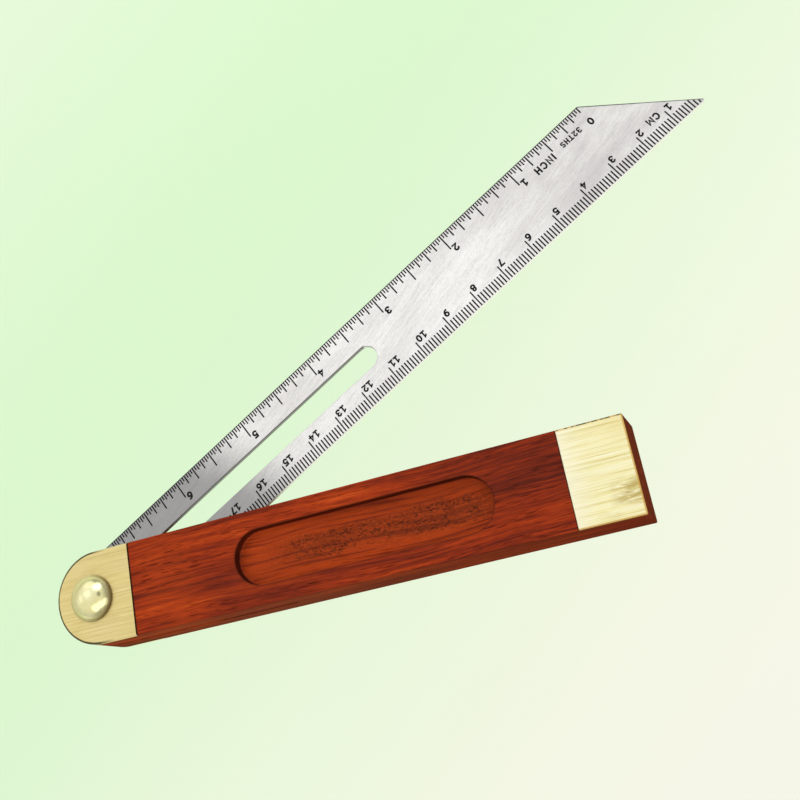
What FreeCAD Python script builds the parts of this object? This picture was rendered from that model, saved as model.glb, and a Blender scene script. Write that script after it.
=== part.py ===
import FreeCAD, Part
import math
import os

# Sliding bevel: slotted steel blade, hardwood stock with brass plates, clamp bolt and wing nut.
#
# Frame (mm): the origin is on the pivot axis, half way through the thickness of the stock.
# +X runs along the stock from the pivot to the butt. +Z is the pivot axis and points out of
# the front face, where the bolt's domed head sits. +Y is the side the blade opens to.

Vector = FreeCAD.Vector
origin = Vector(0, 0, 0)
pivot_axis = Vector(0, 0, 1)

# ---------------------------------------------------------------- driving dimensions
# stock
stock_width = 25.4          # across, Y
stock_thick = 16.0          # through, Z
butt_x = 152.3
nose_centre_x = 1.7         # centre of the half-round nose
edge_round = 0.4            # softened outer edges
# brass plates, let in flush
plate_thick = 0.9
nose_plate_x = 12.4         # inner end of the nose plates
butt_plate_x = 135.4        # inner end of the butt plates
nose_gap = 0.3              # joint line between the nose plates and the wood
butt_gap = 0.08             # joint line between the butt plates and the wood
# saw kerf that holds the blade
kerf_thick = 1.5
blade_angle_min = 12.0      # blade to stock, degrees
blade_angle_max = 155.0
kerf_spare_angle = 0.4      # degrees past either end of the blade's swing
kerf_side_clear = 0.3
kerf_reach = 20.0           # how far the cutter runs beyond the pivot in X and Y
# finger groove in both faces of the stock
groove_x0 = 44.3
groove_x1 = 116.6
groove_radius = 7.45
groove_depth = 3.0
groove_floor_round = 0.8
# blade; lengths are measured from the zero of the inch scale
blade_width = 24.0
blade_thick = 1.2
blade_rest_angle = 28.2     # blade to stock, degrees
blade_tip_angle = 45.0      # sharp corner of the tip
pivot_from_zero = 188.5
corner_past_zero = 0.5      # blunt corner of the tip, at the inch edge
tip_round = 0.4
tail_centre_x = 0.9         # centre of the round tail, on the tip side of the pivot
slot_width = 6.4
slot_end_from_zero = 84.8   # slot's end nearest the tip
slot_play = 0.5             # pivot to the centre of the slot's tail end
# pivot sleeve
sleeve_radius = 3.15
sleeve_bore_radius = 2.55
sleeve_hole_radius = 3.2
end_play = 0.05
# clamp bolt, M5
bolt_radius = 2.5
bolt_end_z = -17.2
bolt_end_chamfer = 0.5
thread_pitch = 0.8
thread_depth = 0.42
thread_inset = 0.6          # thread starts this far inside the back face
thread_end_plain = 0.6      # least length left without grooves at the bolt's end
neck_side = 5.4             # square neck under the head
neck_length = 3.3
socket_side = 5.5           # square hole for the neck
socket_spare = 0.1          # socket is deeper than the neck
head_radius = 6.3
head_rim = 0.5
head_dome = 4.1
# washer
washer_radius = 5.0
washer_bore_radius = 2.6
washer_thick = 1.0
washer_round = 0.2
# wing nut
nut_bore_radius = 2.56
nut_bore_chamfer = 0.5
hub_radius_washer = 4.9
hub_radius_outer = 3.9
hub_height = 6.6
hub_round = 0.35
wing_thick = 2.2
wing_round = 0.55

# levels and half sizes
half_width = stock_width / 2
half_thick = stock_thick / 2
plate_floor_z = half_thick - plate_thick        # wood surface under the front plates
neck_z = half_thick - neck_length               # inner end of the bolt's neck
socket_floor_z = neck_z - socket_spare
nut_z = -half_thick - washer_thick              # where the nut meets the washer
cut_over = 1.0                                  # cutters run this far past what they cut
front_layer = (plate_floor_z, half_thick + cut_over)
back_layer = (-half_thick - cut_over, -plate_floor_z)

# groove profile, one turn: (depth as a share of thread_depth, drop as a share of thread_pitch)
thread_profile = [(1, 0.44), (1, 0.56), (0, 0.94), (0, 1)]

# outline of a wing, closed smooth curve: (distance from the axis, distance from the washer)
wing_outline = [
    (1.5, 1.6), (5.0, 1.3), (8.2, 2.4), (10.9, 4.6), (12.3, 7.4), (12.1, 9.4),
    (10.5, 10.1), (8.6, 8.9), (6.9, 7.1), (5.0, 6.0), (3.0, 5.6), (1.5, 5.4),
]


# ---------------------------------------------------------------- helpers
def box(x0, x1, y0, y1, z0, z1):
    return Part.makeBox(x1 - x0, y1 - y0, z1 - z0, Vector(x0, y0, z0))


def square_bar(side, z0, z1):
    half = side / 2
    return box(-half, half, -half, half, z0, z1)


def cylinder(radius, z0, z1):
    return Part.makeCylinder(radius, z1 - z0, Vector(0, 0, z0))


def ring(outer_radius, bore_radius, z0, z1):
    bore = cylinder(bore_radius, z0 - cut_over, z1 + cut_over)
    return cylinder(outer_radius, z0, z1).cut(bore)


def arc(start, middle, end):
    return Part.Arc(start, middle, end).toShape()


def extrude_z(wire, height):
    return Part.Face(wire).extrude(Vector(0, 0, height))


def stadium(x0, x1, radius, z0, z1):
    """Round-ended bar along X; x0 and x1 are the centres of its ends."""
    wire = Part.Wire([
        arc(Vector(x0, radius, z0), Vector(x0 - radius, 0, z0), Vector(x0, -radius, z0)),
        Part.makeLine(Vector(x0, -radius, z0), Vector(x1, -radius, z0)),
        arc(Vector(x1, -radius, z0), Vector(x1 + radius, 0, z0), Vector(x1, radius, z0)),
        Part.makeLine(Vector(x1, radius, z0), Vector(x0, radius, z0)),
    ])
    return extrude_z(wire, z1 - z0)


def turned(wire):
    """Solid of revolution about the pivot axis from a profile in the XZ plane."""
    solid = Part.Face(wire).revolve(origin, pivot_axis, 360)
    if solid.Volume < 0:        # the profile's direction can turn the solid inside out
        solid.reverse()
    return solid


def save(shape, name):
    assert shape.isValid() and shape.Solids, name + " is not a valid solid"
    if shape.ShapeType == "Compound" and len(shape.Solids) == 1:
        shape = shape.Solids[0]
    shape.exportStep("parts/%s.step" % name)


# ---------------------------------------------------------------- stock and plates
def make_envelope():
    """Outer shape shared by wood and plates: half-round nose, square butt, soft edges."""
    z = -half_thick
    nose_low = Vector(nose_centre_x, -half_width, z)
    nose_high = Vector(nose_centre_x, half_width, z)
    butt_low = Vector(butt_x, -half_width, z)
    butt_high = Vector(butt_x, half_width, z)
    outline = Part.Wire([
        arc(nose_high, Vector(nose_centre_x - half_width, 0, z), nose_low),
        Part.makeLine(nose_low, butt_low),
        Part.makeLine(butt_low, butt_high),
        Part.makeLine(butt_high, nose_high),
    ])
    body = extrude_z(outline, stock_thick)
    # all edges of both faces, and the edges of the butt
    outer_edges = [e for e in body.Edges
                   if abs(e.BoundBox.ZMax - e.BoundBox.ZMin) < 1e-6
                   or e.BoundBox.XMin > butt_x - 1e-3]
    return body.makeFillet(edge_round, outer_edges)


def nose_slab(inner_x, layer):
    """Block over the nose end, wider than the stock; layer is its (z0, z1)."""
    side = half_width + cut_over
    return box(-side, inner_x, -side, side, *layer)


def butt_slab(inner_x, layer):
    """Block over the butt end, wider than the stock; layer is its (z0, z1)."""
    side = half_width + cut_over
    return box(inner_x, butt_x + cut_over, -side, side, *layer)


def neck_socket():
    return square_bar(socket_side, socket_floor_z, half_thick + cut_over)


def kerf_line(blade_angle, side):
    """Slope and Y intercept of a line beside the blade, on its +Y (1) or -Y (-1) side."""
    angle = math.radians(blade_angle)
    offset = blade_width / 2 + kerf_side_clear
    return math.tan(angle), side * offset / abs(math.cos(angle))


def kerf_cutter():
    """Kerf open round the nose and along the +Y edge, and along the start of the -Y edge.

    Its floor is two straight lines: one clears the blade's -Y side at the smallest angle,
    the other its +Y side at the largest. They leave the butt end of the -Y edge whole.
    """
    slope_min, offset_min = kerf_line(blade_angle_min - kerf_spare_angle, -1)
    slope_max, offset_max = kerf_line(blade_angle_max + kerf_spare_angle, 1)
    apex_x = (offset_max - offset_min) / (slope_min - slope_max)
    outline = [
        (-kerf_reach, -kerf_reach),
        ((-kerf_reach - offset_max) / slope_max, -kerf_reach),
        (apex_x, slope_min * apex_x + offset_min),
        ((kerf_reach - offset_min) / slope_min, kerf_reach),
        (-kerf_reach, kerf_reach),
    ]
    points = [Vector(x, y, -kerf_thick / 2) for x, y in outline]
    return extrude_z(Part.makePolygon(points + [points[0]]), kerf_thick)


def groove_cutter():
    """Finger groove in the front face, rounded where its walls meet the floor."""
    floor_z = half_thick - groove_depth
    pocket = stadium(groove_x0 + groove_radius, groove_x1 - groove_radius, groove_radius,
                     floor_z, half_thick + cut_over)
    floor_edges = [e for e in pocket.Edges if e.BoundBox.ZMax < floor_z + 1e-6]
    return pocket.makeFillet(groove_floor_round, floor_edges)


def make_stock(envelope):
    stock = envelope
    for layer in (front_layer, back_layer):
        stock = stock.cut(nose_slab(nose_plate_x + nose_gap, layer))
        stock = stock.cut(butt_slab(butt_plate_x - butt_gap, layer))
    stock = stock.cut(kerf_cutter())
    stock = stock.cut(cylinder(sleeve_hole_radius, -half_thick - cut_over, socket_floor_z))
    stock = stock.cut(neck_socket())
    groove = groove_cutter()
    stock = stock.cut(groove)
    return stock.cut(groove.mirror(origin, pivot_axis))


def make_nose_plate_front(envelope):
    return envelope.common(nose_slab(nose_plate_x, front_layer)).cut(neck_socket())


def make_nose_plate_back(envelope):
    plate = envelope.common(nose_slab(nose_plate_x, back_layer))
    return plate.cut(cylinder(washer_bore_radius, -half_thick - cut_over, half_thick))


def make_butt_plate(envelope, layer):
    return envelope.common(butt_slab(butt_plate_x, layer))


# ---------------------------------------------------------------- blade
def make_blade():
    """Drawn with the pivot at the origin, tip towards +X and inch edge at +Y, then turned."""
    edge_y = blade_width / 2
    z = -blade_thick / 2
    corner_x = pivot_from_zero + corner_past_zero
    tip_x = corner_x + blade_width / math.tan(math.radians(blade_tip_angle))

    def from_tip(distance, angle):
        """Point at a distance from the sharp tip, angle in radians off the -Y edge."""
        return Vector(tip_x - distance * math.cos(angle),
                      -edge_y + distance * math.sin(angle), z)

    # the tip's rounding is tangent to both edges and crosses the bisector of the corner
    tip_angle = math.radians(blade_tip_angle)
    setback = tip_round / math.tan(tip_angle / 2)
    round_start = from_tip(setback, tip_angle)
    round_middle = from_tip(tip_round / math.sin(tip_angle / 2) - tip_round, tip_angle / 2)
    round_end = from_tip(setback, 0)

    blunt_corner = Vector(corner_x, edge_y, z)
    tail_low = Vector(tail_centre_x, -edge_y, z)
    tail_high = Vector(tail_centre_x, edge_y, z)
    outline = Part.Wire([
        Part.makeLine(blunt_corner, round_start),
        arc(round_start, round_middle, round_end),
        Part.makeLine(round_end, tail_low),
        arc(tail_low, Vector(tail_centre_x - edge_y, 0, z), tail_high),
        Part.makeLine(tail_high, blunt_corner),
    ])
    blade = extrude_z(outline, blade_thick)

    slot_radius = slot_width / 2
    slot_tip_x = pivot_from_zero - slot_end_from_zero - slot_radius
    blade = blade.cut(stadium(-slot_play, slot_tip_x, slot_radius, z - cut_over, cut_over - z))
    blade.rotate(origin, pivot_axis, blade_rest_angle)
    return blade


# ---------------------------------------------------------------- pivot sleeve
def make_sleeve():
    """Thin tube round the bolt that fills the width of the blade's slot."""
    return ring(sleeve_radius, sleeve_bore_radius,
                -plate_floor_z + end_play, socket_floor_z - end_play)


# ---------------------------------------------------------------- clamp bolt
def make_head():
    """Short cylindrical rim with a spherical dome on it."""
    rim_z = half_thick + head_rim
    rim = cylinder(head_radius, half_thick, rim_z)
    dome_radius = (head_radius ** 2 + head_dome ** 2) / (2 * head_dome)
    dome_centre_z = rim_z + head_dome - dome_radius
    middle_angle = math.asin(head_radius / dome_radius) / 2
    centre = Vector(0, 0, rim_z)
    edge = Vector(head_radius, 0, rim_z)
    middle = Vector(dome_radius * math.sin(middle_angle), 0,
                    dome_centre_z + dome_radius * math.cos(middle_angle))
    crown = Vector(0, 0, rim_z + head_dome)
    profile = Part.Wire([
        Part.makeLine(centre, edge),
        arc(edge, middle, crown),
        Part.makeLine(crown, centre),
    ])
    return rim.fuse(turned(profile))


def make_shank():
    """Shank with ring grooves at the thread's pitch, plain above them."""
    thread_z = -half_thick + thread_inset
    turns = int((thread_z - bolt_end_z - thread_end_plain) / thread_pitch)
    profile = [(0, neck_z), (bolt_radius, neck_z), (bolt_radius, thread_z)]
    for turn in range(turns):
        for depth, drop in thread_profile:
            profile.append((bolt_radius - depth * thread_depth,
                            thread_z - (turn + drop) * thread_pitch))
    profile += [
        (bolt_radius, bolt_end_z + bolt_end_chamfer),
        (bolt_radius - bolt_end_chamfer, bolt_end_z),
        (0, bolt_end_z),
    ]
    points = [Vector(x, 0, z) for x, z in profile]
    return turned(Part.makePolygon(points + [points[0]]))


def make_bolt():
    neck = square_bar(neck_side, neck_z, half_thick)
    return make_head().fuse(neck).fuse(make_shank()).removeSplitter()


# ---------------------------------------------------------------- washer and wing nut
def make_washer():
    washer = ring(washer_radius, washer_bore_radius, nut_z, -half_thick)
    outer_edges = [e for e in washer.Edges
                   if len(e.Vertexes) == 1 and abs(e.Curve.Radius - washer_radius) < 1e-3]
    return washer.makeFillet(washer_round, outer_edges)


def make_wing(side):
    """Flat wing on the +X (1) or -X (-1) side of the hub, with rounded edges."""
    curve = Part.BSplineCurve()
    curve.interpolate([Vector(side * x, -wing_thick / 2, nut_z - drop)
                       for x, drop in wing_outline], PeriodicFlag=True)
    wing = Part.Face(Part.Wire(curve.toShape())).extrude(Vector(0, wing_thick, 0))
    face_edges = [e for e in wing.Edges if abs(e.BoundBox.YMax - e.BoundBox.YMin) < 1e-3]
    return wing.makeFillet(wing_round, face_edges)


def make_wing_nut():
    end_z = nut_z - hub_height
    nut = Part.makeCone(hub_radius_outer, hub_radius_washer, hub_height, Vector(0, 0, end_z))
    nut = nut.makeFillet(hub_round, [e for e in nut.Edges if len(e.Vertexes) == 1
                                     and abs(e.BoundBox.ZMax - end_z) < 1e-6])
    for side in (1, -1):
        nut = nut.fuse(make_wing(side))
    nut = nut.cut(cylinder(nut_bore_radius, end_z - cut_over, nut_z + cut_over))
    # chamfered mouth of the bore, on the washer side
    mouth = Part.makeCone(nut_bore_radius, nut_bore_radius + nut_bore_chamfer,
                          nut_bore_chamfer, Vector(0, 0, nut_z - nut_bore_chamfer))
    return nut.cut(mouth).removeSplitter()


# ---------------------------------------------------------------- write
os.makedirs("parts", exist_ok=True)
envelope = make_envelope()
save(make_stock(envelope), "wooden_stock")
save(make_nose_plate_front(envelope), "nose_plate_front")
save(make_nose_plate_back(envelope), "nose_plate_back")
save(make_butt_plate(envelope, front_layer), "butt_plate_front")
save(make_butt_plate(envelope, back_layer), "butt_plate_back")
save(make_blade(), "bevel_blade")
save(make_sleeve(), "pivot_sleeve")
save(make_bolt(), "clamp_bolt")
save(make_washer(), "plain_washer")
save(make_wing_nut(), "wing_nut")
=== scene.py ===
# A sliding bevel: a hardwood stock with brass plates, and a slotted steel blade held by a
# brass bolt and wing nut. The pivot is at the origin. The stock runs along +x with its broad
# faces up and down, and the blade swings from it about z, towards +y.

import math
import bpy
import bmesh
from mathutils import Vector, Matrix


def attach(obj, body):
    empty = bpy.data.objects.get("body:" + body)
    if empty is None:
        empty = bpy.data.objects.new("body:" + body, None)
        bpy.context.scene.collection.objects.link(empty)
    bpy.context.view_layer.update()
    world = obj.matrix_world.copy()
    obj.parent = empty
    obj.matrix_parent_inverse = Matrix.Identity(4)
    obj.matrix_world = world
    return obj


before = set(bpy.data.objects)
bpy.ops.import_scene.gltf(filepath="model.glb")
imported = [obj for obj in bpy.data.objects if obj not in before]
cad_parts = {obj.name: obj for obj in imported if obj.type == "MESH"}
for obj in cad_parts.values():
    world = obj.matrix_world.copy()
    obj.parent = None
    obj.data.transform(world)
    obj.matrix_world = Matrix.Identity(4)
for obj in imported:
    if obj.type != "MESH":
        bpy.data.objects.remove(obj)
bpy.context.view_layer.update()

scene = bpy.context.scene

# ---------------------------------------------------------------- sizes of the blade (mm)
MM = 0.001                           # metres in a millimetre
INCH = 25.4
REST_ANGLE = math.radians(28.2)      # blade to stock
PIVOT_U = 188.5                      # pivot, measured along the blade from the inch zero
BLADE_W = 24.0
BLADE_T = 1.2
CM_ZERO = -24.95                     # zero of the centimetre scale, from the inch zero
ALONG = Vector((math.cos(REST_ANGLE), math.sin(REST_ANGLE), 0))
ACROSS = Vector((-math.sin(REST_ANGLE), math.cos(REST_ANGLE), 0))


# ---------------------------------------------------------------- node helpers
class Field:
    """A node output. Arithmetic on it adds Math nodes."""

    def __init__(self, graph, socket):
        self.graph = graph
        self.socket = socket

    def __add__(self, other):
        return self.graph.math("ADD", self, other)

    def __sub__(self, other):
        return self.graph.math("SUBTRACT", self, other)

    def __rsub__(self, other):
        return self.graph.math("SUBTRACT", other, self)

    def __mul__(self, other):
        return self.graph.math("MULTIPLY", self, other)

    def __truediv__(self, other):
        return self.graph.math("DIVIDE", self, other)

    def __abs__(self):
        return self.graph.math("ABSOLUTE", self)

    def max(self, other):
        return self.graph.math("MAXIMUM", self, other)

    def min(self, other):
        return self.graph.math("MINIMUM", self, other)

    def root(self):
        return self.graph.math("SQRT", self)

    def sway(self, width):
        """Turn a 0..1 noise into an offset centred on zero."""
        return (self - 0.5) * width

    def mask(self, off, on, low=0.0, high=1.0, smooth=False):
        """Run from low, where the input is `off`, to high, where it is `on`; clamped."""
        return self.graph.make(
            "ShaderNodeMapRange", {0: self, 1: off, 2: on, 3: low, 4: high}, clamp=True,
            interpolation_type="SMOOTHSTEP" if smooth else "LINEAR")

    def between(self, edge_a, edge_b):
        """1 between two soft edges, each given as its (off, on) values."""
        return self.mask(*edge_a) * self.mask(*edge_b)

    def stain(self, mask, to, amount=None, mode="MIX"):
        """Mix this colour towards another where the mask is on, as far as amount."""
        if amount is not None:
            mask = mask * amount
        return self.graph.mix(mask, self, to, mode)


class Graph:
    """A node tree, emptied, with short calls for the nodes used here."""

    def __init__(self, tree):
        self.tree = tree
        tree.nodes.clear()

    def put(self, socket, value):
        """Link a Field to an input, or set the input to a plain value."""
        if isinstance(value, Field):
            self.tree.links.new(value.socket, socket)
        else:
            socket.default_value = value

    def node(self, kind, inputs={}, **props):
        node = self.tree.nodes.new(kind)
        for name, value in props.items():
            setattr(node, name, value)
        for key, value in inputs.items():
            self.put(node.inputs[key], value)
        return node

    def make(self, kind, inputs={}, output=0, **props):
        """Add a node and return one of its outputs."""
        return Field(self, self.node(kind, inputs, **props).outputs[output])

    def math(self, operation, a, b=0.0):
        return self.make("ShaderNodeMath", {0: a, 1: b}, operation=operation)

    def mix(self, fac, a, b, mode="MIX"):
        a, b = ((*c, 1) if isinstance(c, tuple) else c for c in (a, b))
        return self.make("ShaderNodeMix", {0: fac, 6: a, 7: b}, output=2,
                         data_type="RGBA", blend_type=mode)

    def split(self, vector):
        node = self.node("ShaderNodeSeparateXYZ", {0: vector})
        return [Field(self, socket) for socket in node.outputs]

    def join(self, axes):
        """A vector from fields keyed by axis number."""
        return self.make("ShaderNodeCombineXYZ", axes)

    def mapping(self, vector, scale=(1, 1, 1), rot=(0, 0, 0), loc=(0, 0, 0)):
        return self.make("ShaderNodeMapping",
                         {0: vector, "Scale": scale, "Rotation": rot, "Location": loc})

    def noise(self, vector, scale, detail, rough, distort=0.0, **shift):
        """Noise with its own scale per axis; shift takes rot and loc."""
        return self.make("ShaderNodeTexNoise", {
            "Vector": self.mapping(vector, scale, **shift), "Scale": 1.0,
            "Detail": detail, "Roughness": rough, "Distortion": distort})

    def cells(self, vector, scale, loc=(0, 0, 0)):
        """Distance to the nearest of a scatter of points."""
        return self.make("ShaderNodeTexVoronoi",
                         {"Vector": self.mapping(vector, scale, loc=loc), "Scale": 1.0},
                         output="Distance")

    def ramp(self, fac, stops):
        """A colour ramp; each stop is (position, colour)."""
        color = self.make("ShaderNodeValToRGB", {0: fac})
        elements = color.socket.node.color_ramp.elements
        while len(elements) < len(stops):
            elements.new(0.5)
        for element, (position, rgb) in zip(elements, stops):
            element.position = position
            element.color = (*rgb, 1)
        return color


class Material(Graph):
    """A node material built on one Principled shader."""

    def __init__(self, name):
        self.material = bpy.data.materials.new(name)
        self.material.use_nodes = True
        super().__init__(self.material.node_tree)
        self.output = self.node("ShaderNodeOutputMaterial")
        self.shader = self.make("ShaderNodeBsdfPrincipled")
        self.surface(self.shader)
        self.pos = self.make("ShaderNodeTexCoord", output="Object")

    def surface(self, shader):
        self.put(self.output.inputs[0], shader)

    def set(self, **values):
        """Set Principled inputs, with underscores for the spaces in their names."""
        for name, value in values.items():
            self.put(self.shader.socket.node.inputs[name.replace("_", " ")], value)

    def geometry(self, output):
        return self.make("ShaderNodeNewGeometry", output=output)

    def normal(self):
        """The three parts of the face normal."""
        return self.split(self.geometry("True Normal"))

    def soft_edge(self, radius):
        return self.make("ShaderNodeBevel", {"Radius": radius}, samples=6)

    def bump(self, height, strength, dist, normal=None):
        inputs = {"Strength": strength, "Distance": dist, "Height": height}
        if normal is not None:
            inputs["Normal"] = normal
        return self.make("ShaderNodeBump", inputs)

    def edge_mask(self, radius, off=0.02, on=0.25):
        """1 along convex and concave edges, 0 on flats."""
        inputs = {0: self.soft_edge(radius), 1: self.geometry("True Normal")}
        dot = self.make("ShaderNodeVectorMath", inputs, "Value", operation="DOT_PRODUCT")
        return (1.0 - dot).mask(off=off, on=on)

    def corner_dirt(self, color, reach, off, on, amount, to):
        """Paint shade, with some grime, on the places shut in within reach; off and on are
        openness.
        """
        openness = self.make("ShaderNodeAmbientOcclusion", {"Distance": reach}, "AO", samples=6)
        return color.stain(openness.mask(off=off, on=on, high=amount), to=to)


# ---------------------------------------------------------------- hardwood
# Masks that place something on a piece read object coordinates, in metres.

def groove_floor(mat, color, grain, grit):
    """A mask of the floor of the finger groove: 1 on it, 0 elsewhere."""
    pos = mat.pos
    x, y, z = mat.split(pos)
    depth = abs(z).mask(off=0.0054, on=0.0050)
    length = x.between((0.0430, 0.0450), (0.1178, 0.1160))
    width = abs(y).mask(off=0.0077, on=0.0072)
    return depth * (length * width)


def make_wood():
    mat = Material("red_hardwood")
    pos = mat.pos
    x, y, z = mat.split(pos)

    # slow wander of the grain along the stock
    wander = mat.noise(pos, scale=(16, 34, 34), detail=2, rough=0.5).sway(width=0.007)
    grain = mat.join({0: x, 1: y + wander, 2: z + wander * 0.6})

    # growth bands: wide stripes running lengthwise, then narrow ones, then fibres
    bands = mat.noise(grain, scale=(10, 170, 110), detail=4, rough=0.60, distort=0.3,
                      rot=(0, 0, 0.02))
    fine = mat.noise(grain, scale=(34, 820, 640), detail=5, rough=0.66, distort=0.15)
    fibre = mat.noise(grain, scale=(150, 3600, 3000), detail=4, rough=0.72)
    finer = mat.noise(grain, scale=(62, 1750, 1400), detail=4, rough=0.66, distort=0.1,
                      loc=(4, 1, 6))
    tone = bands * 0.38 + (fine * 0.34 + finer * 0.28)
    color = mat.ramp(tone.mask(off=0.365, on=0.640), [
        (0.00, (0.050, 0.007, 0.005)), (0.24, (0.112, 0.012, 0.006)),
        (0.47, (0.225, 0.022, 0.006)), (0.72, (0.350, 0.036, 0.006)),
        (1.00, (0.480, 0.066, 0.009))])

    # broad darker heartwood zones
    zone = mat.noise(grain, scale=(11, 70, 60), detail=3, rough=0.55, loc=(2.3, 0.4, 0.9))
    color = color.stain(zone.mask(off=0.52, on=0.66, high=0.38), to=(0.085, 0.011, 0.006))

    # a warm heart near the nose, then a duskier stretch along the -y side
    shift = zone.sway(width=0.020)
    along = x + shift
    heart = along.between((0.012, 0.017), (0.034, 0.026))
    color = color.stain(heart, amount=0.24, to=(0.42, 0.052, 0.007))
    dusk = along.between((0.029, 0.037), (0.085, 0.060))
    dusk = dusk * (y + shift * 0.4).mask(off=0.004, on=-0.004)
    color = color.stain(dusk, amount=0.36, to=(0.080, 0.010, 0.007))

    # open pores: short dark dashes along the grain, thick in some bands, absent in others
    crowd = mat.noise(grain, scale=(22, 300, 300), detail=3, rough=0.6, loc=(3, 1, 2))
    coarse_pore = (mat.cells(grain, scale=(120, 1300, 1200)).mask(off=0.30, on=0.14)
                   * crowd.mask(off=0.44, on=0.58))
    fine_pore = (mat.cells(grain, scale=(210, 2300, 2100), loc=(7, 2, 5)).mask(off=0.30, on=0.15)
                 * crowd.mask(off=0.40, on=0.50))
    pore = coarse_pore.max(fine_pore * 0.75)
    color = color.stain(pore, amount=0.70, to=(0.030, 0.005, 0.003))
    shade = fibre.mask(off=0.3, on=0.7, low=0.74, high=1.26)
    shade = mat.make("ShaderNodeCombineColor", {0: shade, 1: shade, 2: shade})
    color = color.stain(1.0, to=shade, mode="MULTIPLY")

    # the cut floor of the finger groove is paler, with long dark grain lines
    depth = abs(z).mask(off=0.0054, on=0.0050)
    length = x.between((0.0430, 0.0450), (0.1178, 0.1160))
    width = abs(y).mask(off=0.0077, on=0.0072)
    groove = depth * (length * width)
    color = color.stain(groove, amount=0.50, to=(0.60, 0.072, 0.008))
    lines = mat.noise(grain, scale=(26, 900, 1), detail=4, rough=0.62, loc=(3, 6, 0))
    color = color.stain(groove * lines.mask(off=0.49, on=0.60, high=0.78),
                        to=(0.150, 0.016, 0.006))

    # a coarse open-pored streak down the middle of the groove, with pits and pale flecks
    bend = mat.noise(pos, scale=(60, 200, 1), detail=3, rough=0.6)
    centre = y + bend.sway(width=0.005)
    streak = (abs(centre + 0.0001).mask(off=0.0046, on=0.0022)
              * x.between((0.050, 0.064), (0.1185, 0.112)))
    streak = streak * groove
    grit = mat.noise(pos, scale=(900, 1700, 1700), detail=5, rough=0.75)
    pits = mat.noise(pos, scale=(1150, 2300, 2300), detail=4, rough=0.62, distort=0.4,
                     loc=(5, 5, 5))
    pit_crowd = mat.noise(pos, scale=(150, 520, 520), detail=4, rough=0.7, loc=(1, 8, 5))
    pits = pits.mask(off=0.475, on=0.415) * pit_crowd.mask(off=0.36, on=0.56, low=0.35)
    color = color.stain(streak * grit.mask(off=0.35, on=0.65, low=0.15, high=0.80),
                        to=(0.175, 0.026, 0.006))
    color = color.stain(streak * (pits * 0.90), to=(0.048, 0.009, 0.004))
    flecks = mat.noise(pos, scale=(1500, 2200, 2200), detail=2, rough=0.5, loc=(9, 2, 7))
    flecks = flecks.mask(off=0.66, on=0.74)
    color = color.stain(streak * (flecks * 0.5), to=(0.62, 0.22, 0.09))

    # painted shade on the upright walls of the groove
    upright = abs(mat.normal()[2])
    inside = (x.between((0.0436, 0.0438), (0.1172, 0.1170))
              * abs(y).mask(off=0.0080, on=0.0078))
    wall_shade = inside * (upright.mask(off=0.80, on=0.45) * abs(z).mask(off=0.00795, on=0.0074))
    color = color.stain(wall_shade, amount=0.80, to=(0.034, 0.006, 0.003))

    # a fine painted shade line round the lip of the groove, a slot with round ends
    lip_centre, lip_half_straight, lip_radius = 0.08045, 0.0287, 0.00745
    past = (abs(x - lip_centre) - lip_half_straight).max(0.0)
    from_lip = (past * past + y * y).root() - lip_radius
    lip_shade = abs(from_lip).mask(off=0.00034, on=0.00012) * abs(z).mask(off=0.0070, on=0.0075)
    color = color.stain(lip_shade, amount=0.62, to=(0.035, 0.006, 0.003))

    # long sides: painted shade, greyish brown towards the nose, darker towards the butt
    normal_x, normal_y, _ = mat.normal()
    side = abs(normal_y).mask(off=0.6, on=0.9)
    side = side * (1.0 - inside)
    color = color.stain(side * x.mask(off=0.060, on=0.145, low=0.34, high=0.0),
                        to=(0.23, 0.080, 0.034))
    color = color.stain(side * x.mask(off=0.050, on=0.150, low=0.10, high=0.55),
                        to=(0.060, 0.012, 0.006))

    # darker end grain at the butt, with open pores seen end on
    end = normal_x.mask(off=0.6, on=0.9) * x.mask(off=0.150, on=0.151)
    dots = mat.cells(pos, scale=(300, 2300, 2300)).mask(off=0.34, on=0.18)
    rings = mat.noise(pos, scale=(40, 900, 260), detail=4, rough=0.6, rot=(0.5, 0, 0))
    end_color = mat.ramp(rings, [(0.35, (0.075, 0.013, 0.006)), (0.65, (0.155, 0.030, 0.011))])
    end_color = end_color.stain(dots, amount=0.7, to=(0.022, 0.005, 0.003))
    color = color.stain(end, amount=0.85, to=end_color)

    # painted shade in the joints beside the plates, on the broad faces
    face = abs(z).mask(off=0.0072, on=0.0076)
    nose_seam_shade = x.mask(off=0.01305, on=0.01285) * 0.88
    butt_seam_shade = x.mask(off=0.13508, on=0.13522) * 0.70
    color = color.stain(nose_seam_shade.max(butt_seam_shade) * face, to=(0.018, 0.005, 0.003))

    # painted shade, with some grime, in the corners, and a painted highlight, with some wear,
    # along the edges
    color = mat.corner_dirt(color, reach=0.0013, off=0.88, on=0.40, amount=0.80,
                            to=(0.022, 0.004, 0.002))
    color = color.stain(mat.edge_mask(radius=0.00045), amount=0.14, to=(0.50, 0.12, 0.03))

    # relief: open fibres, with the pores and the pitted streak sunk into them
    relief = (fibre * 0.35 + fine * 0.5 - pore * 0.9
              - streak * (pits * 1.6 + grit * 0.8))
    normal = mat.bump(relief, strength=0.35, dist=0.00025, normal=mat.soft_edge(radius=0.00035))
    rough = fine.mask(off=0.3, on=0.7, low=0.50, high=0.34)
    mat.set(Base_Color=color, Roughness=rough, Normal=normal, Specular_IOR_Level=0.0)

    # a glossy film of oil that stays faint at grazing angles
    amount = pore.mask(off=0.0, on=1.0, low=0.012, high=0.003)
    film = mat.make("ShaderNodeBsdfGlossy",
                    {"Color": (1.0, 0.62, 0.42, 1), "Roughness": rough, "Normal": normal})
    mat.surface(mat.make("ShaderNodeMixShader", {0: amount, 1: mat.shader, 2: film}))
    return mat.material


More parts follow.
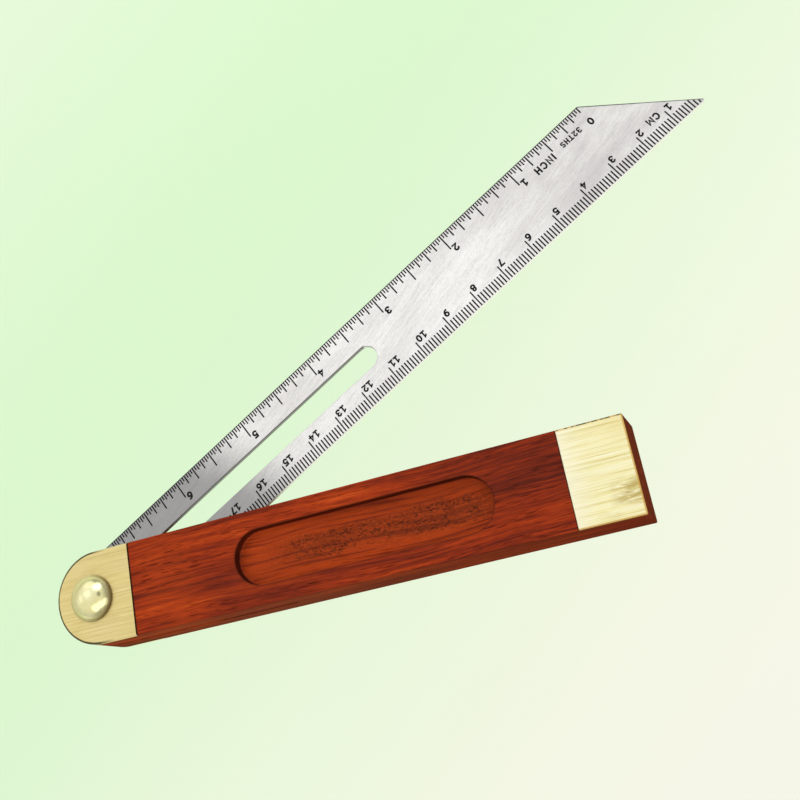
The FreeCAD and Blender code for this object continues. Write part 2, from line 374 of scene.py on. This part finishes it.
# ---------------------------------------------------------------- metals
def make_brass_plate():
    mat = Material("brushed_brass")
    pos = mat.pos
    x, y, _ = mat.split(pos)
    brush = mat.noise(pos, scale=(70, 4800, 4800), detail=5, rough=0.72)
    broad_brush = mat.noise(pos, scale=(16, 1500, 1500), detail=3, rough=0.6, loc=(1, 7, 3))
    cloud = mat.noise(pos, scale=(60, 170, 170), detail=4, rough=0.6)
    smudge = mat.noise(pos, scale=(120, 230, 230), detail=3, rough=0.55, loc=(4, 2, 0))
    smudge = smudge.mask(off=0.58, on=0.74)
    tone = brush * 0.60 + broad_brush * 0.40

    # the butt plates are painted paler than the nose plates, as a painted reflection of brighter
    # light
    warm = mat.ramp(tone, [(0.30, (0.58, 0.45, 0.16)), (0.50, (0.82, 0.66, 0.27)),
                           (0.70, (0.95, 0.83, 0.42))])
    pale_lit_tone = mat.ramp(tone, [(0.34, (0.66, 0.54, 0.19)), (0.50, (0.96, 0.89, 0.49)),
                           (0.64, (1.0, 1.0, 0.80))])
    color = warm.stain(x.mask(off=0.06, on=0.10), to=pale_lit_tone)
    color = color.stain(cloud.mask(off=0.35, on=0.75, high=0.22), to=(0.97, 0.90, 0.58))
    color = color.stain(smudge, amount=0.22, to=(0.50, 0.38, 0.13))

    # butt plates: a painted highlight at the inner end, warmer at the +y outer corner
    inner = x.mask(off=0.1415, on=0.1355, high=0.45) * x.mask(off=0.130, on=0.1335)
    color = color.stain(inner, to=(1.0, 0.99, 0.86))
    corner = x.mask(off=0.1440, on=0.1520, high=0.50) * y.mask(off=0.0020, on=0.0110)
    color = color.stain(corner, to=(0.86, 0.72, 0.32))

    # rubbed darker towards the -y outer corner
    patch = (x.mask(off=0.1440, on=0.1485)
             * y.between((-0.0105, -0.0085), (-0.0020, -0.0050)))
    rub = mat.noise(pos, scale=(200, 1100, 1100), detail=4, rough=0.7, loc=(8, 3, 1))
    color = color.stain(patch * rub.mask(off=0.40, on=0.60, high=0.85), to=(0.50, 0.37, 0.09))
    # painted shade, with some grime, in the corners and joints of the plates
    color = mat.corner_dirt(color, reach=0.0012, off=0.8, on=0.3, amount=0.6,
                            to=(0.09, 0.05, 0.02))

    # a painted shade line round the nose arris, whose arc is centred just past the pivot
    nose_centre = 0.0017
    past = (x - nose_centre).min(0.0)
    radius = (past * past + y * y).root()
    radius = radius + cloud.sway(width=0.0004)
    upright = abs(mat.normal()[2])
    arris_shade = radius.mask(off=0.01204, on=0.01222) * x.mask(off=0.0060, on=0.0010, high=0.92)
    arris_shade = arris_shade * upright.mask(off=0.20, on=0.50, low=0.30)
    color = color.stain(arris_shade, to=(0.030, 0.024, 0.014))

    # burnished warm rim round the butt, nicked along +y, with dull cut sides
    rim = x.mask(off=0.15180, on=0.1520).max(abs(y).mask(off=0.01222, on=0.01240))
    rim = rim * x.mask(off=0.10, on=0.12)
    color = color.stain(rim, amount=0.85, to=(0.64, 0.37, 0.08))
    nick = mat.noise(pos, scale=(1100, 60, 60), detail=2, rough=0.6).mask(off=0.42, on=0.54)
    nick = nick * (x.mask(off=0.10, on=0.12) * y.mask(off=0.01222, on=0.01240))
    color = color.stain(nick, amount=0.90, to=(0.040, 0.032, 0.020))
    cut = upright.mask(off=0.55, on=0.30) * x.mask(off=0.10, on=0.12)
    color = color.stain(cut, amount=0.92, to=(0.150, 0.050, 0.018))

    dull = arris_shade.max((rim * 0.80).max(cut))
    normal = mat.bump(tone, strength=0.16, dist=0.00006, normal=mat.soft_edge(radius=0.0003))
    mat.set(Base_Color=color, Metallic=1.0 - dull, Normal=normal,
            Roughness=cloud.mask(off=0.3, on=0.7, low=0.34, high=0.44),
            Specular_IOR_Level=0.0, Anisotropic=0.45,
            Tangent=mat.make("ShaderNodeTangent", direction_type="RADIAL", axis="X"))
    return mat.material


def make_brass_polished():
    mat = Material("polished_brass")
    pos = mat.pos
    x, y, z = mat.split(pos)
    # turning marks run in rings about the pivot
    radius = (x * x + y * y).root()
    turning = mat.noise(mat.join({0: radius, 2: z}), scale=(4200, 1, 4200), detail=3, rough=0.6)
    scuff = mat.noise(pos, scale=(900, 700, 800), detail=5, rough=0.68, distort=0.8)
    haze = mat.noise(pos, scale=(220, 220, 220), detail=3, rough=0.5, loc=(2, 9, 1))
    dent = mat.noise(pos, scale=(190, 190, 190), detail=2, rough=0.5, loc=(6, 4, 3))
    color = mat.ramp(haze, [(0.30, (0.88, 0.81, 0.38)), (0.55, (0.96, 0.92, 0.52)),
                            (0.75, (1.0, 0.98, 0.64))])

    # painted shade where the head meets the plate: dark brown on the +x side, khaki reaching
    # higher on the -x side
    plus_x_side = (x - y * 0.2).mask(off=-0.0015, on=0.0050)
    lift = (1.0 - plus_x_side) * 0.00045
    foot_shade = (z - lift).mask(off=0.0100, on=0.0088) * z.mask(off=0.0, on=0.001)
    # on that side the skirt is also painted a dull khaki shade where it turns away from the eye
    facing = mat.make("ShaderNodeLayerWeight", output="Facing")
    turned_shade = facing.mask(off=0.42, on=0.66) * (1.0 - plus_x_side)
    foot_shade = foot_shade.max(turned_shade)
    foot_shade_color = mat.mix(plus_x_side, (0.56, 0.52, 0.25), (0.13, 0.078, 0.022))
    color = color.stain(foot_shade, amount=0.90, to=foot_shade_color)
    # painted shade, with some grime, in the corners at the base of the head
    color = mat.corner_dirt(color, reach=0.001, off=0.75, on=0.25, amount=0.55,
                            to=(0.10, 0.055, 0.02))

    # fine marks first, then shallow dents over them
    marks = mat.bump(turning * 0.25 + scuff * 0.35, strength=0.08, dist=0.00008,
                     normal=mat.soft_edge(radius=0.00015))
    mat.set(Base_Color=color, Metallic=1.0 - foot_shade * 0.92,
            Normal=mat.bump(dent, strength=0.22, dist=0.0012, normal=marks),
            Roughness=haze.mask(off=0.3, on=0.7, low=0.12, high=0.20) + scuff * 0.05,
            Specular_IOR_Level=0.0, Specular_Tint=(0.84, 0.74, 0.40, 1))
    return mat.material


def make_brass_cast():
    mat = Material("cast_brass")
    grain = mat.noise(mat.pos, scale=(1500, 1500, 1500), detail=5, rough=0.7)
    lump = mat.noise(mat.pos, scale=(260, 260, 260), detail=4, rough=0.6)
    color = mat.ramp(lump, [(0.30, (0.62, 0.48, 0.18)), (0.55, (0.82, 0.68, 0.31)),
                            (0.75, (0.90, 0.79, 0.46))])
    # painted shade, with some tarnish, in the hollows
    color = mat.corner_dirt(color, reach=0.0018, off=0.85, on=0.3, amount=0.7,
                            to=(0.09, 0.05, 0.018))
    color = color.stain(mat.edge_mask(radius=0.0005), amount=0.45, to=(0.95, 0.84, 0.50))
    normal = mat.bump(grain * 0.5 + lump, strength=0.16, dist=0.00012,
                      normal=mat.soft_edge(radius=0.0004))
    mat.set(Base_Color=color, Metallic=1.0, Normal=normal,
            Roughness=grain.mask(off=0.3, on=0.7, low=0.28, high=0.42))
    return mat.material


def make_steel():
    mat = Material("satin_steel")
    # along the blade, and across it towards the inch edge
    along, across, _ = mat.split(mat.mapping(mat.pos, rot=(0, 0, -REST_ANGLE)))
    # ground at a slight slant to the blade
    slant = 0.23
    ground = mat.mapping(mat.pos, rot=(0, 0, -REST_ANGLE - slant))
    brush = mat.noise(ground, scale=(240, 3000, 3000), detail=5, rough=0.76)
    broad_brush = mat.noise(ground, scale=(60, 1100, 1100), detail=4, rough=0.66, loc=(3, 3, 3))
    grit = mat.noise(ground, scale=(1300, 2300, 2300), detail=3, rough=0.65)
    cloud = mat.noise(ground, scale=(34, 95, 95), detail=4, rough=0.6, loc=(6, 0, 0))
    tone = brush * 0.45 + (broad_brush * 0.25 + grit * 0.30)
    color = mat.ramp(tone, [(0.34, (0.62, 0.61, 0.605)), (0.50, (0.87, 0.86, 0.85)),
                            (0.66, (0.99, 0.985, 0.97))])
    color = color.stain(cloud.mask(off=0.46, on=0.68, high=0.26), to=(0.60, 0.585, 0.585))

    # duller towards the tip, and painted shade, greyer, next to the stock
    tip = (along.mask(off=0.125, on=0.195, smooth=True)
           * cloud.mask(off=0.38, on=0.60, low=0.14, high=0.50))
    color = color.stain(tip, to=(0.46, 0.445, 0.45))
    lean_shade = along + across * 0.55
    lean_shade = lean_shade + cloud.sway(width=0.012)
    color = color.stain(lean_shade.mask(off=0.066, on=0.044, high=0.75, smooth=True),
                        to=(0.22, 0.22, 0.222))

    # a painted highlight on the cut faces: the centimetre side, and the inch side of the slot
    upright = abs(mat.normal()[2])
    highlit_side = across.mask(off=0.001, on=-0.001).max(
        across.between((0.0036, 0.0034), (0.0028, 0.0030)))
    cut = upright.mask(off=0.6, on=0.3) * highlit_side
    color = color.stain(cut, amount=0.9, to=(0.98, 1.0, 0.96))

    # painted shade lines along the arrises: inch edge, cut tip (a 45 degree line) and the inch
    # side of the slot
    arris_shade_color = (0.040, 0.038, 0.037)
    from_tip = (0.2010 - (along + across)) * 0.7071
    rim = across.mask(off=0.01170, on=0.01182).max(from_tip.mask(off=0.00030, on=0.00015))
    rim = rim * upright.mask(off=0.4, on=0.8, low=0.15)
    slot = (across.between((0.00348, 0.00336), (0.0028, 0.0030))
            * along.between((0.1022, 0.1016), (-0.0012, -0.0006)))
    color = color.stain(rim.max(slot * 0.9), amount=0.85, to=arris_shade_color)
    # painted shade, with some grime, in the corners
    color = mat.corner_dirt(color, reach=0.0015, off=0.8, on=0.3, amount=0.5,
                            to=(0.08, 0.075, 0.07))
    # painted shade along the edges, strongest towards the inch side
    edge_shade = mat.edge_mask(radius=0.0006, off=0.004, on=0.06)
    edge_shade = edge_shade * (upright.mask(off=0.4, on=0.8, low=0.22) * (1.0 - cut))
    color = color.stain(edge_shade * across.mask(off=-0.001, on=0.001, low=0.05, high=0.92), to=arris_shade_color)

    normal = mat.bump(tone, strength=0.14, dist=0.00005, normal=mat.soft_edge(radius=0.00018))
    mat.set(Base_Color=color, Metallic=1.0, Normal=normal, Anisotropic=0.3,
            Roughness=cloud.mask(off=0.3, on=0.7, low=0.30, high=0.38))
    return mat.material


def make_ink():
    mat = Material("black_filling")
    grain = mat.noise(mat.pos, scale=(2600, 2600, 2600), detail=3, rough=0.6)
    color = mat.ramp(grain, [(0.3, (0.005, 0.005, 0.006)), (0.7, (0.022, 0.021, 0.023))])
    mat.set(Base_Color=color, Roughness=grain.mask(off=0.3, on=0.7, low=0.55, high=0.8),
            Normal=mat.bump(grain, strength=0.2, dist=0.00002), Specular_IOR_Level=0.08)
    return mat.material


wood = make_wood()
brass_plate = make_brass_plate()
brass_polished = make_brass_polished()
brass_cast = make_brass_cast()
steel = make_steel()
ink = make_ink()

MATERIAL_OF = {
    "wooden_stock": wood,
    "nose_plate_front": brass_plate, "nose_plate_back": brass_plate,
    "butt_plate_front": brass_plate, "butt_plate_back": brass_plate,
    "bevel_blade": steel,
    "pivot_sleeve": brass_polished, "clamp_bolt": brass_polished,
    "plain_washer": brass_cast, "wing_nut": brass_cast,
}
for name, material in MATERIAL_OF.items():
    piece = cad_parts[name]
    if not piece.material_slots:
        piece.data.materials.append(material)
    for material_slot in piece.material_slots:
        material_slot.material = material


# ---------------------------------------------------------------- marks on the blade (mm)
# u runs along the blade from the inch zero, near the tip, towards the pivot.
# v runs across it from the inch edge to the centimetre edge.
INK_Z0 = BLADE_T / 2 - 0.01
INK_Z1 = BLADE_T / 2 + 0.012
INCH_DIVISIONS = 32
INCH_LAST = 7 * INCH_DIVISIONS
INCH_END_TICK = 2.1          # length of the first and last inch ticks
# (every so many 32nds, tick length), longest first
INCH_TICKS = ((32, 5.5), (16, 4.9), (8, 4.0), (4, 3.0), (2, 2.0), (1, 1.5))


def on_blade(u, v, z):
    place = ALONG * (PIVOT_U - u) + ACROSS * (BLADE_W / 2 - v)
    return Vector((place.x * MM, place.y * MM, z * MM))


def new_object(name, mesh, material):
    data = bpy.data.meshes.new(name)
    mesh.to_mesh(data)
    mesh.free()
    made = bpy.data.objects.new(name, data)
    scene.collection.objects.link(made)
    data.materials.append(material)
    return made


def ink_object(name, mesh):
    bmesh.ops.recalc_face_normals(mesh, faces=mesh.faces)
    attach(new_object(name, mesh, ink), "blade")


def bar(mesh, u, v_out, v_in, width):
    """One graduation: a thin raised bar with its inner corners cut off."""
    half = width / 2
    v_corner = v_in - (1 if v_in > v_out else -1) * half * 0.5
    ring = [(u - half, v_out), (u + half, v_out), (u + half, v_corner),
            (u + half * 0.5, v_in), (u - half * 0.5, v_in), (u - half, v_corner)]
    low = [mesh.verts.new(on_blade(*point, INK_Z0)) for point in ring]
    high = [mesh.verts.new(on_blade(*point, INK_Z1)) for point in ring]
    mesh.faces.new(low)
    mesh.faces.new(high[::-1])
    for i in range(len(ring)):
        j = (i + 1) % len(ring)
        mesh.faces.new((low[j], low[i], high[i], high[j]))


def inch_ticks(mesh):
    for n in range(INCH_LAST + 1):
        if n in (0, INCH_LAST):
            length = INCH_END_TICK
        else:
            length = next(size for every, size in INCH_TICKS if n % every == 0)
        bar(mesh, n * INCH / INCH_DIVISIONS, v_out=0.08, v_in=length,
            width=0.42 if n % 4 == 0 else 0.38)


def cm_ticks(mesh):
    for n in range(2, 176):
        u = CM_ZERO + n
        length, width = (5.4, 0.40) if n % 10 == 0 else (3.3, 0.42)
        # the sloping tip cuts the first graduations short
        tip_v = -(u + 0.5) + 0.35
        bar(mesh, u, v_out=BLADE_W - 0.12, v_in=max(BLADE_W - length, tip_v), width=width)


def arc(cx, cy, rx, ry, start, end, n=10):
    """Points on an ellipse, angles in degrees, anticlockwise when end > start."""
    angles = [math.radians(start + (end - start) * i / n) for i in range(n + 1)]
    return [(cx + rx * math.cos(angle), cy + ry * math.sin(angle)) for angle in angles]


def loop(cx, cy, rx, ry, n):
    """A closed ellipse as a stroke, starting at its top."""
    return (arc(cx, cy, rx, ry, 90, 450, n)[:-1], True)


# Centre lines of plain block figures, 0..1 high. Each stroke is (points, closed).
GLYPHS = {
    "0": [loop(0.3, 0.5, 0.3, 0.5, 24)],
    "1": [([(0.05, 0.80), (0.32, 1.0), (0.32, 0.0)], False), ([(0.05, 0.0), (0.59, 0.0)], False)],
    "2": [(arc(0.3, 0.70, 0.29, 0.30, 165, -28, 12) + [(0.01, 0.0), (0.60, 0.0)], False)],
    "3": [(arc(0.29, 0.755, 0.27, 0.245, 150, -90, 12)
           + arc(0.29, 0.26, 0.30, 0.26, 90, -150, 12)[1:], False)],
    "4": [([(0.46, 0.0), (0.46, 1.0), (0.0, 0.27), (0.64, 0.27)], False)],
    "5": [([(0.55, 1.0), (0.09, 1.0), (0.06, 0.57)]
           + arc(0.27, 0.32, 0.31, 0.32, 112, -145, 14), False)],
    "6": [loop(0.31, 0.31, 0.29, 0.31, 18), (arc(0.50, 0.34, 0.48, 0.66, 84, 178), False)],
    "7": [([(0.0, 1.0), (0.60, 1.0), (0.20, 0.0)], False)],
    "8": [loop(0.30, 0.76, 0.24, 0.24, 16), loop(0.30, 0.27, 0.30, 0.27, 18)],
    "9": [loop(0.29, 0.69, 0.29, 0.31, 18), (arc(0.10, 0.66, 0.48, 0.66, -96, -2), False)],
    "C": [(arc(0.36, 0.5, 0.36, 0.5, 48, 312, 18), False)],
    "M": [([(0.0, 0.0), (0.0, 1.0), (0.37, 0.25), (0.74, 1.0), (0.74, 0.0)], False)],
    "I": [([(0.06, 0.0), (0.06, 1.0)], False)],
    "N": [([(0.0, 0.0), (0.0, 1.0), (0.56, 0.0), (0.56, 1.0)], False)],
    "H": [([(0.0, 0.0), (0.0, 1.0)], False), ([(0.56, 0.0), (0.56, 1.0)], False),
          ([(0.0, 0.51), (0.56, 0.51)], False)],
    "T": [([(0.0, 1.0), (0.60, 1.0)], False), ([(0.30, 1.0), (0.30, 0.0)], False)],
    "S": [(arc(0.29, 0.745, 0.26, 0.255, 40, 270, 12)
           + arc(0.28, 0.245, 0.28, 0.245, 90, -140, 12)[1:], False)],
}
GLYPH_WIDTHS = {"C": 0.66, "M": 0.74, "I": 0.12, "N": 0.56, "H": 0.56, "S": 0.56}
GLYPH_WIDTH = 0.6            # width of the other figures
LIFT_STEP = 0.0004           # each stroke stands this much higher, so crossings don't clash
MITRE_LIMIT = 0.55           # least cosine used to widen a mitred corner
LEFT, CENTRE, RIGHT = 0.0, 0.5, 1.0


def ribbon(mesh, points, width, closed, lift):
    """A raised stroke along a polyline in (u, v), with mitred corners and square ends."""
    points = [Vector(point) for point in points]
    count = len(points)
    rings = []
    for i, point in enumerate(points):
        starts = i == 0 and not closed
        ends = i == count - 1 and not closed
        came = None if starts else (point - points[i - 1]).normalized()
        goes = came if ends else (points[(i + 1) % count] - point).normalized()
        came = goes if starts else came
        tangent = (came + goes).normalized()
        normal = Vector((-tangent.y, tangent.x))
        cosine = max(MITRE_LIMIT, normal.dot(Vector((-came.y, came.x))))
        offset = normal * (width / 2 / cosine)
        centre = point.copy()
        if starts:
            centre -= goes * width * 0.5
        if ends:
            centre += came * width * 0.5
        rings.append([mesh.verts.new(on_blade(side.x, side.y, z))
                      for side in (centre + offset, centre - offset)
                      for z in (INK_Z0, INK_Z1 + lift)])
    for i in range(count if closed else count - 1):
        here, there = rings[i], rings[(i + 1) % count]
        for a, b in ((1, 3), (2, 0), (0, 1), (3, 2)):
            mesh.faces.new((here[a], here[b], there[b], there[a]))
    if not closed:
        mesh.faces.new([rings[0][k] for k in (0, 2, 3, 1)])
        mesh.faces.new([rings[-1][k] for k in (0, 1, 3, 2)])


def lettering(mesh, text, base, height, at, align=LEFT, weight=0.36, wide=1.0, gap=0.22):
    """Raised block figures on the blade, upright when the tip points left."""
    tall = height - weight
    across = tall * wide
    widths = [GLYPH_WIDTHS.get(char, GLYPH_WIDTH) * across for char in text]
    total = sum(widths) + weight * len(text) + gap * (len(text) - 1)
    u = at - total * align
    lift = 0.0
    for char, char_width in zip(text, widths):
        for points, closed in GLYPHS[char]:
            placed = [(u + weight / 2 + x * across, base + weight / 2 + y * tall)
                      for x, y in points]
            ribbon(mesh, placed, weight, closed, lift)
            lift += LIFT_STEP
        u += char_width + weight + gap


mesh = bmesh.new()
inch_ticks(mesh)
cm_ticks(mesh)
ink_object("scale_graduations", mesh)

mesh = bmesh.new()
INCH_FIGURES = dict(base=4.75, height=2.4, weight=0.56)
lettering(mesh, "0", at=-0.15, align=CENTRE, **INCH_FIGURES)
for i in range(1, 7):
    lettering(mesh, str(i), at=i * INCH - 0.60, align=RIGHT, **INCH_FIGURES)
for i in range(1, 18):
    lettering(mesh, str(i), base=17.35, height=2.25, at=CM_ZERO + 10 * i - 0.68, align=RIGHT,
              gap=0.08, weight=0.52)
lettering(mesh, "CM", base=16.9, height=2.25, at=-13.45, weight=0.50, wide=1.08, gap=0.26)
lettering(mesh, "INCH", base=4.95, height=2.38, at=13.1, weight=0.52, wide=1.03, gap=0.36)
lettering(mesh, "32THS", base=4.6, height=1.85, at=3.1, weight=0.40, wide=0.98)
ink_object("scale_numbers", mesh)


# ---------------------------------------------------------------- floor
FLOOR_GLOW = 0.59
# The floor's tint follows a ratio of two planes, each (constant, per metre x, per metre y).
TINT_PLANE = (453.794394, 843.292978, -1008.021097)
DEPTH_PLANE = (0.50049929, -0.29593646, 0.36172748)   # distance in front of the camera
TINT_SCALE = 0.000625                                 # brings the ratio to 0..1
# pale green to cream: (position, colour)
FLOOR_TINTS = [
    (0.0, (0.761, 0.905, 0.672)), (0.125, (0.723, 0.913, 0.638)),
    (0.25, (0.694, 0.913, 0.610)), (0.331, (0.694, 0.913, 0.614)),
    (0.431, (0.723, 0.913, 0.644)), (0.531, (0.784, 0.913, 0.687)),
    (0.638, (0.831, 0.930, 0.730)), (0.719, (0.867, 0.930, 0.761)),
    (0.812, (0.905, 0.930, 0.791)), (0.938, (0.922, 0.930, 0.815))]


def make_floor():
    mat = Material("pale_floor")
    x, y, _ = mat.split(mat.geometry("Position"))

    def plane(constant, per_x, per_y):
        return x * per_x + y * per_y + constant

    tint = plane(*TINT_PLANE) / plane(*DEPTH_PLANE).max(0.1)
    grain = mat.noise(mat.pos, scale=(90, 90, 1), detail=4, rough=0.6)
    tint = tint * TINT_SCALE + grain.mask(off=0.3, on=0.7, low=-0.006, high=0.006)
    color = mat.ramp(tint, FLOOR_TINTS)
    dimmed = color.stain(1.0, to=(0.40, 0.40, 0.40), mode="MULTIPLY")
    mat.set(Base_Color=dimmed, Roughness=0.9, Emission_Color=color,
            Emission_Strength=FLOOR_GLOW, Specular_IOR_Level=0.0)
    # a one-way sheet: clear when looked at from underneath
    clear = mat.make("ShaderNodeBsdfTransparent")
    mat.surface(mat.make("ShaderNodeMixShader",
                         {0: mat.geometry("Backfacing"), 1: mat.shader, 2: clear}))
    return mat.material


mesh = bmesh.new()
bmesh.ops.create_grid(mesh, x_segments=8, y_segments=8, size=3.0)
bmesh.ops.recalc_face_normals(mesh, faces=mesh.faces)
for face in mesh.faces:
    if face.normal.z < 0:
        face.normal_flip()
floor = new_object("floor", mesh, make_floor())
floor.location = (0.08, 0.04, -0.16)

# ---------------------------------------------------------------- key light
KEY_PLACE = Vector((-0.12, 0.88, 0.60))
KEY_TARGET = Vector((0.08, 0.02, 0))

light = bpy.data.lights.new("key", "AREA")
light.shape = "RECTANGLE"
light.size = 0.95
light.size_y = 0.62
light.energy = 3.1
light.color = (1.0, 0.99, 0.98)
key = bpy.data.objects.new("key", light)
scene.collection.objects.link(key)
key.location = KEY_PLACE
key.rotation_euler = (KEY_TARGET - KEY_PLACE).to_track_quat("-Z", "Y").to_euler()
key.visible_glossy = False

# ---------------------------------------------------------------- world: a white tent
OVERHEAD_LEVEL = 0.84
CAMERA_LEVEL = 0.88          # what the camera itself sees
# Soft-edged cards: direction, inner and outer angle (degrees), value, and whether the value
# scales the light there or replaces it.
CARDS = [
    ((-0.20, 0.33, 0.92), 5, 22, 1.37, True),
    ((-0.47, 0.20, 0.86), 3, 14, 0.88, True),
    ((-0.70, 0.08, 0.71), 8, 17, 1.05, False),
    ((0.40, 0.74, 0.49), 16, 23, 1.90, False),
    ((-0.20, 0.86, 0.46), 12, 26, 1.05, False),
    ((0.25, -0.76, 0.60), 13, 21, 1.45, False),
    ((0.62, -0.62, 0.47), 13, 21, 1.45, False),
    ((0.90, -0.38, 0.20), 13, 21, 1.45, False),
    ((0.67, 0.22, 0.70), 5, 12, 0.22, False),
]


def make_world():
    world = bpy.data.worlds.new("studio")
    scene.world = world
    world.use_nodes = True
    sky = Graph(world.node_tree)
    direction = sky.make("ShaderNodeTexCoord", output="Generated")
    x, _, z = sky.split(direction)

    # darker at the horizon, most of all towards +x, and bright overhead
    rise = z.mask(off=-0.02, on=0.60, smooth=True)
    low = x.mask(off=0.30, on=-0.50, low=0.24, high=0.58, smooth=True)
    level = low + (OVERHEAD_LEVEL - low) * rise

    for aim, inner, outer, value, scales in CARDS:
        dot = sky.make("ShaderNodeVectorMath", {0: direction, 1: Vector(aim).normalized()},
                       "Value", operation="DOT_PRODUCT")
        card = dot.mask(off=math.cos(math.radians(outer)), on=math.cos(math.radians(inner)),
                        smooth=True)
        if scales:
            level = level * card.mask(off=0.0, on=1.0, low=1.0, high=value)
        else:
            level = level * (1.0 - card) + card * value

    # the tent looks plain and pale to the camera
    seen = sky.make("ShaderNodeLightPath", output="Is Camera Ray")
    level = level * (1.0 - seen) + seen * CAMERA_LEVEL
    background = sky.make("ShaderNodeBackground", {0: (1.0, 0.992, 0.972, 1), 1: level})
    sky.node("ShaderNodeOutputWorld", {0: background})


make_world()

# ---------------------------------------------------------------- camera
CAMERA_PLACE = (0.18602739203229526, -0.06411161975520165, 0.3176289185503517)
# columns are the camera's right, up and backward directions
CAMERA_AXES = Matrix((
    (0.9124854779920724, 0.28247454172937797, 0.29593645555821185),
    (-0.16664052914325825, 0.9172699535739839, -0.3617274752036903),
    (-0.37363242163981764, 0.280756060567104, 0.8840672191380055)))

lens = bpy.data.cameras.new("camera")
lens.lens = 57.35465706908557
lens.sensor_width = 36.0
lens.shift_x = 0.09196420421028556
lens.shift_y = -0.11712378617892881
lens.clip_start = 0.005
lens.clip_end = 20
camera = bpy.data.objects.new("camera", lens)
scene.collection.objects.link(camera)
camera.matrix_world = Matrix.Translation(CAMERA_PLACE) @ CAMERA_AXES.to_4x4()
scene.camera = camera
scene.view_settings.view_transform = "Standard"
scene.view_settings.look = "None"
